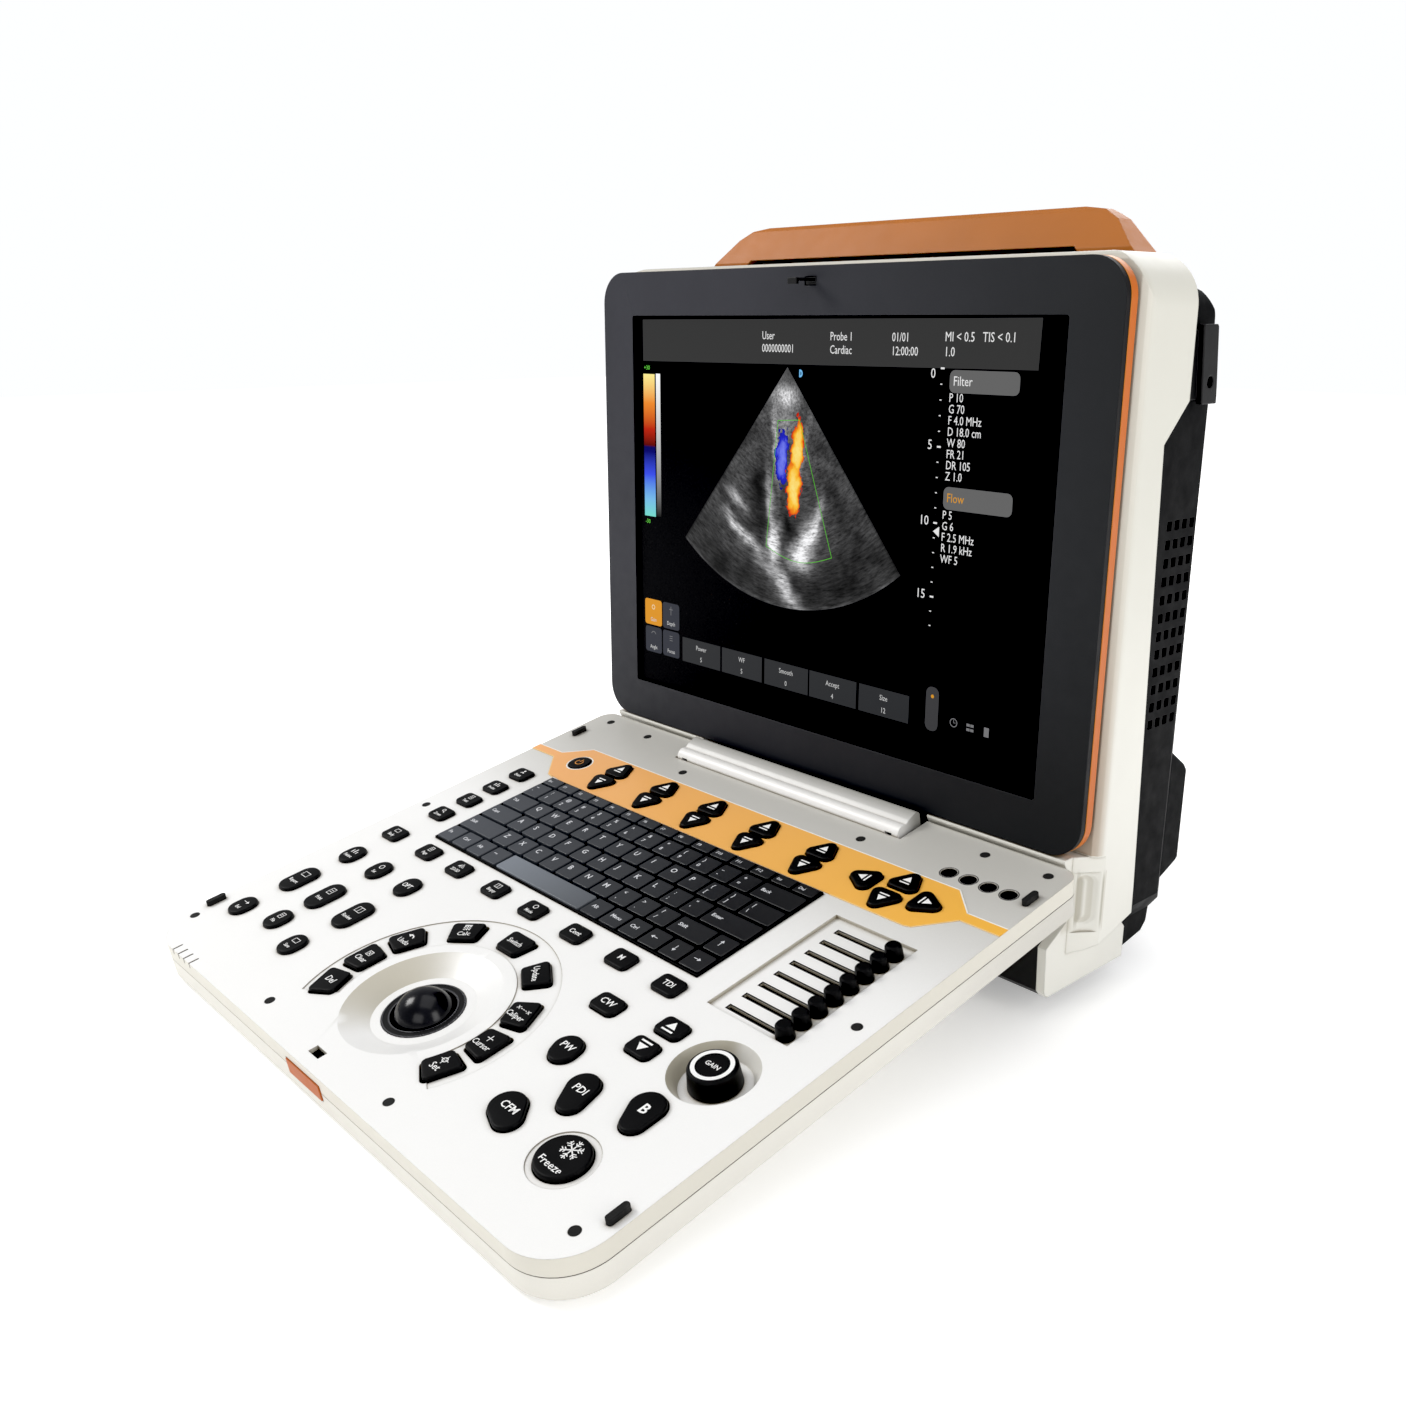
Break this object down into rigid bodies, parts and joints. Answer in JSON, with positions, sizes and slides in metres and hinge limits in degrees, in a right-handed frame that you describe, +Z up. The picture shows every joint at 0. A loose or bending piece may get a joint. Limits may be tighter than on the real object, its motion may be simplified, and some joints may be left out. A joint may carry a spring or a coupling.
{
  "type": "portable ultrasound scanner",
  "caption": "Portable colour ultrasound scanner with upright display, folding control panel with keyboard, trackball and gain sliders, carry handle and rear battery pack.",
  "frame": {"origin": "on the table plane, at the middle of the footprint with the panel open", "axes": "+Z up, -Y towards the user, +X to the user's right"},
  "size_m": [0.3688, 0.428, 0.389],
  "materials": {
    "white_shell": "fine satin moulded shell",
    "panel_shell": "pearl paint, satin",
    "black_texture": "fine spark texture",
    "black_plastic": "matte",
    "soft_black": "soft-touch",
    "rubber": "matte",
    "key_rubber": "satin silicone",
    "keycap": "semi-gloss",
    "bezel": "matte charcoal",
    "bracket": "powder coat",
    "orange": "satin paint",
    "orange_film": "printed film, satin",
    "steel": "zinc plated",
    "board": "solder mask",
    "screen": "anti-glare screen",
    "lens": "smoked lens",
    "ball_gloss": "polished"
  },
  "bodies": {
    "base": {"main_housing": "white_shell", "rear_cover": "black_texture", "battery_pack": "black_texture", "carry_handle": "orange", "handle_grip": "soft_black", "lower_front_cover": "black_plastic", "base_feet": "rubber", "hinge_arms": "steel", "display_bezel": "bezel", "display_rim": "orange", "display_mount": "black_plastic", "lcd_module": "steel", "screen_glass": "screen", "latch_keeper": "steel", "accessory_brackets": "bracket", "main_board": "board", "power_supply": "steel", "fan_frame": "black_plastic", "probe_sockets": "black_plastic", "io_panel": "steel", "speakers": "black_plastic", "storage_drive": "steel", "housing_screws": "steel"},
    "control_panel": {"panel_top_cover": "panel_shell", "panel_bottom_cover": "white_shell", "hinge_bar_cover": "white_shell", "hinge_knuckles": "steel", "hinge_pins": "steel", "orange_overlay": "orange_film", "bumper_pads": "rubber", "screw_plugs": "rubber", "panel_feet": "rubber", "keyboard_frame": "black_plastic", "trackball_cup": "soft_black", "slider_unit": "black_plastic", "indicator_lenses": "lens", "panel_board": "board"},
    "fan": {"fan_rotor": "black_plastic"},
    "latch": {"latch_button": "orange"},
    "ball": {"trackball": "ball_gloss"},
    "knob": {"gain_knob": "key_rubber"},
    "knob_push": {"knob_cap": "key_rubber"},
    "slider_1": {"tgc_slider_1": "key_rubber"},
    "slider_2": {"tgc_slider_2": "key_rubber"},
    "slider_3": {"tgc_slider_3": "key_rubber"},
    "slider_4": {"tgc_slider_4": "key_rubber"},
    "slider_5": {"tgc_slider_5": "key_rubber"},
    "slider_6": {"tgc_slider_6": "key_rubber"},
    "slider_7": {"tgc_slider_7": "key_rubber"},
    "slider_8": {"tgc_slider_8": "key_rubber"},
    "freeze": {"freeze_button": "key_rubber"},
    "power": {"power_button": "key_rubber"},
    "mode": {"mode_keys": "key_rubber"},
    "depth": {"depth_keys": "key_rubber"},
    "arc": {"arc_keys": "key_rubber"},
    "square": {"square_keys": "key_rubber"},
    "oval": {"oval_keys": "key_rubber"},
    "arrow": {"arrow_keys": "key_rubber"},
    "letter": {"letter_keys": "keycap"},
    "space": {"space_bar": "keycap"}
  },
  "joints": [
    {"name": "panel_hinge", "type": "hinge", "parent": "base", "child": "control_panel", "pos_m": [0, 0.08202, 0.06534], "axis": [-1, 0, 0], "range_deg": [0, 100.7]},
    {"name": "fan_spin", "type": "hinge", "parent": "base", "child": "fan", "pos_m": [-0.06, 0.1705, 0.224], "axis": [0, 1, 0], "continuous": true},
    {"name": "latch_press", "type": "slide", "parent": "control_panel", "child": "latch", "axis": [0, 0.9826, 0.1857], "range_m": [0, 0.0025]},
    {"name": "trackball_roll", "type": "hinge", "parent": "control_panel", "child": "ball", "pos_m": [0.0004, -0.15349, 0.02264], "axis": [1, 0, 0], "continuous": true},
    {"name": "knob_turn", "type": "hinge", "parent": "control_panel", "child": "knob", "pos_m": [0.147, -0.10549, 0.0422], "axis": [0, -0.1857, 0.9826], "continuous": true},
    {"name": "knob_press", "type": "slide", "parent": "knob", "child": "knob_push", "axis": [0, 0.1857, -0.9826], "range_m": [0, 0.001]},
    {"name": "slider_1_move", "type": "slide", "parent": "control_panel", "child": "slider_1", "axis": [1, 0, 0], "range_m": [-0.031, 0]},
    {"name": "slider_2_move", "type": "slide", "parent": "control_panel", "child": "slider_2", "axis": [1, 0, 0], "range_m": [-0.031, 0]},
    {"name": "slider_3_move", "type": "slide", "parent": "control_panel", "child": "slider_3", "axis": [1, 0, 0], "range_m": [-0.031, 0]},
    {"name": "slider_4_move", "type": "slide", "parent": "control_panel", "child": "slider_4", "axis": [1, 0, 0], "range_m": [-0.031, 0]},
    {"name": "slider_5_move", "type": "slide", "parent": "control_panel", "child": "slider_5", "axis": [1, 0, 0], "range_m": [-0.031, 0]},
    {"name": "slider_6_move", "type": "slide", "parent": "control_panel", "child": "slider_6", "axis": [1, 0, 0], "range_m": [-0.031, 0]},
    {"name": "slider_7_move", "type": "slide", "parent": "control_panel", "child": "slider_7", "axis": [1, 0, 0], "range_m": [-0.031, 0]},
    {"name": "slider_8_move", "type": "slide", "parent": "control_panel", "child": "slider_8", "axis": [1, 0, 0], "range_m": [-0.031, 0]},
    {"name": "freeze_press", "type": "slide", "parent": "control_panel", "child": "freeze", "axis": [0, 0.1857, -0.9826], "range_m": [0, 0.0012]},
    {"name": "power_press", "type": "slide", "parent": "control_panel", "child": "power", "axis": [0, 0.1857, -0.9826], "range_m": [0, 0.001]},
    {"name": "mode_press", "type": "slide", "parent": "control_panel", "child": "mode", "axis": [0, 0.1857, -0.9826], "range_m": [0, 0.0012]},
    {"name": "depth_press", "type": "slide", "parent": "control_panel", "child": "depth", "axis": [0, 0.1857, -0.9826], "range_m": [0, 0.0012]},
    {"name": "arc_press", "type": "slide", "parent": "control_panel", "child": "arc", "axis": [0, 0.1857, -0.9826], "range_m": [0, 0.0012]},
    {"name": "square_press", "type": "slide", "parent": "control_panel", "child": "square", "axis": [0, 0.1857, -0.9826], "range_m": [0, 0.0012]},
    {"name": "oval_press", "type": "slide", "parent": "control_panel", "child": "oval", "axis": [0, 0.1857, -0.9826], "range_m": [0, 0.0012]},
    {"name": "arrow_press", "type": "slide", "parent": "control_panel", "child": "arrow", "axis": [0, 0.1857, -0.9826], "range_m": [0, 0.0012]},
    {"name": "letter_press", "type": "slide", "parent": "control_panel", "child": "letter", "axis": [0, 0.1857, -0.9826], "range_m": [0, 0.0015]},
    {"name": "space_press", "type": "slide", "parent": "control_panel", "child": "space", "axis": [0, 0.1857, -0.9826], "range_m": [0, 0.0015]}
  ]
}
